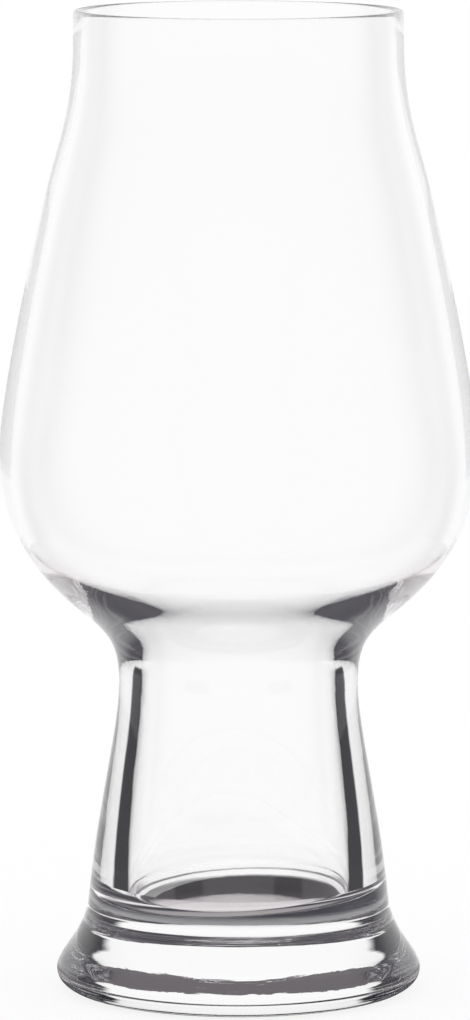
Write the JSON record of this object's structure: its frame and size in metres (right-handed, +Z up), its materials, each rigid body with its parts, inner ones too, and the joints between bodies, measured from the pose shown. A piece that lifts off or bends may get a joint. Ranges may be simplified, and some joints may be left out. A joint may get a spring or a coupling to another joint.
{
  "type": "stemmed beer glass",
  "caption": "Clear beer glass with a narrow upright neck, a pear-shaped bowl, a thick hollow stem open to the bowl and a heavy spreading foot; stands on a flat ring and holds a drink.",
  "frame": {"origin": "centre of the underside, at the level of the resting ring", "axes": "+Z up along the axis of the glass; the glass is round, so X and Y are free"},
  "size_m": [0.0894, 0.0894, 0.184],
  "materials": {
    "clear_glass": "clear colourless glass, fire polished"
  },
  "bodies": {
    "root": {"bowl": "clear_glass", "stem": "clear_glass", "foot": "clear_glass"}
  },
  "joints": []
}
